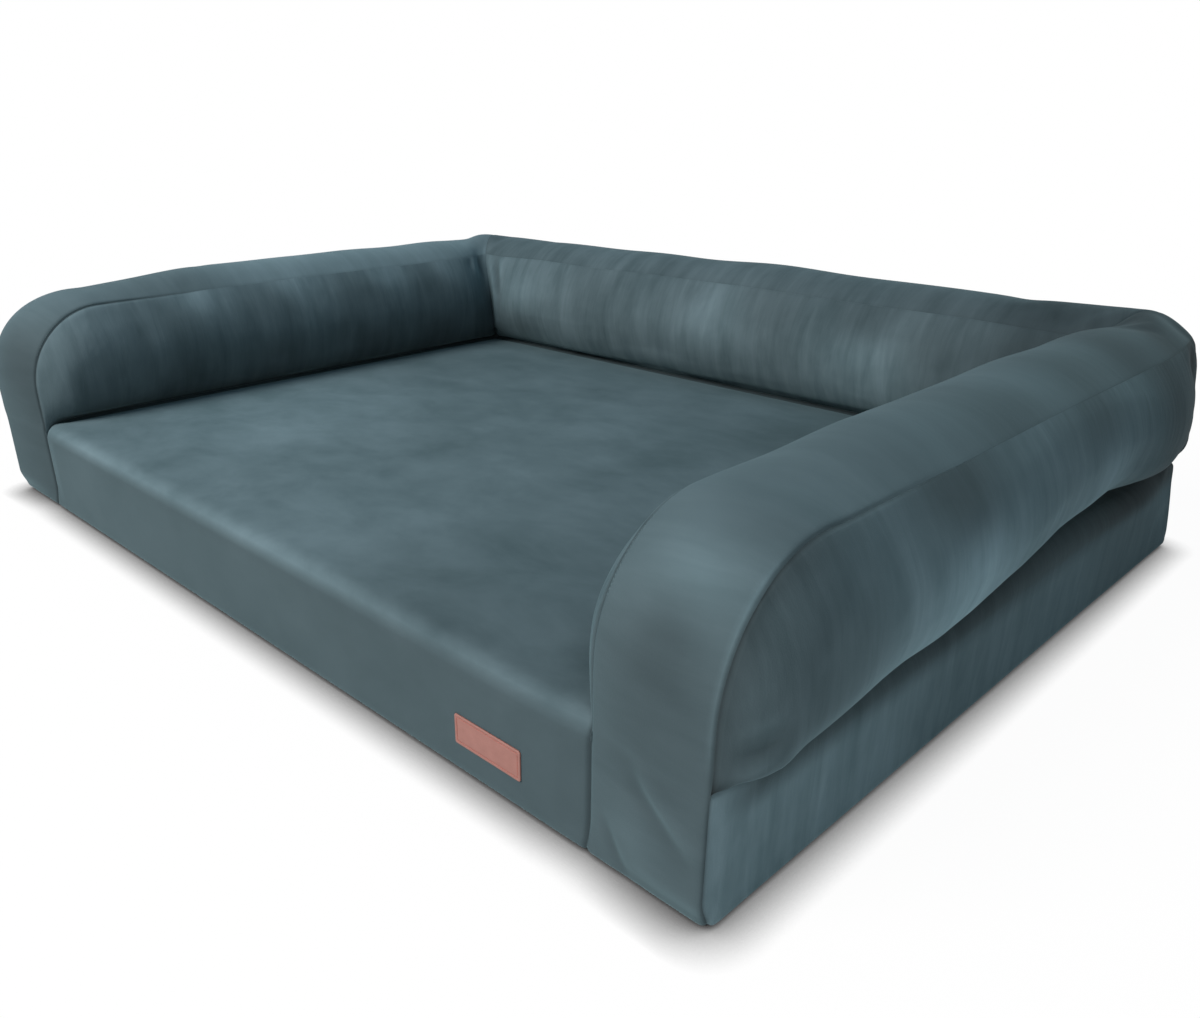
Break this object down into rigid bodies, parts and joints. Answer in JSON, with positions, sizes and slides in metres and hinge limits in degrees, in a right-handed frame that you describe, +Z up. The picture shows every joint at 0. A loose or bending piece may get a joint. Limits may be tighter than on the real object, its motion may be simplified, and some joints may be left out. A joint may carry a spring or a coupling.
{
  "type": "pet bed",
  "caption": "Sofa-style pet bed: a foam mattress with stuffed bolsters on both sides and the back, in a zipped velour cover.",
  "frame": {"origin": "middle of the footprint of the foam base, on the floor face", "axes": "+X to the right arm seen from the open front, +Y from the open front to the back bolster, +Z up"},
  "size_m": [1.256, 0.9294, 0.28],
  "materials": {
    "teal_velour": "short-pile velour, matte with a soft sheen",
    "nonslip_cloth": "woven polyester with small rubber dots",
    "lining_cloth": "thin spun-bonded lining",
    "base_foam": "open-cell polyurethane foam",
    "comfort_foam": "slow-recovery polyurethane foam",
    "bolster_filling": "packed siliconised fibre",
    "label_leather": "matte faux leather",
    "zip_tape": "woven polyester tape",
    "zip_nylon": "satin nylon coil",
    "zip_metal": "satin enamelled zinc"
  },
  "bodies": {
    "bed": {"base_foam": "base_foam", "comfort_foam": "comfort_foam", "mattress_panel": "teal_velour", "underside_panel": "nonslip_cloth", "right_base_side_panel": "teal_velour", "left_base_side_panel": "teal_velour", "right_lining": "lining_cloth", "left_lining": "lining_cloth", "back_lining": "lining_cloth", "right_bolster_filling": "bolster_filling", "left_bolster_filling": "bolster_filling", "back_bolster_filling": "bolster_filling", "right_arm_strip": "teal_velour", "left_arm_strip": "teal_velour", "back_top_strip": "teal_velour", "right_arm_outer_panel": "teal_velour", "left_arm_outer_panel": "teal_velour", "back_outer_panel": "teal_velour", "right_arm_inner_panel": "teal_velour", "left_arm_inner_panel": "teal_velour", "back_inner_panel": "teal_velour", "rear_lower_panel": "teal_velour", "rear_upper_panel": "teal_velour", "label_patch": "label_leather", "zip_upper_tape": "zip_tape", "zip_lower_tape": "zip_tape", "zip_upper_coil": "zip_nylon", "zip_lower_coil": "zip_nylon", "zip_stops": "zip_metal"},
    "zip_slider": {"zip_slider": "zip_metal"},
    "zip_pull": {"zip_pull": "zip_metal"}
  },
  "joints": [
    {"name": "zip_travel", "type": "slide", "parent": "bed", "child": "zip_slider", "axis": [-1, 0, 0], "range_m": [0, 0.98]},
    {"name": "pull_flip", "type": "hinge", "parent": "zip_slider", "child": "zip_pull", "pos_m": [0.4915, 0.45235, 0.056], "axis": [0, 0, 1], "range_deg": [-178, 0]}
  ]
}
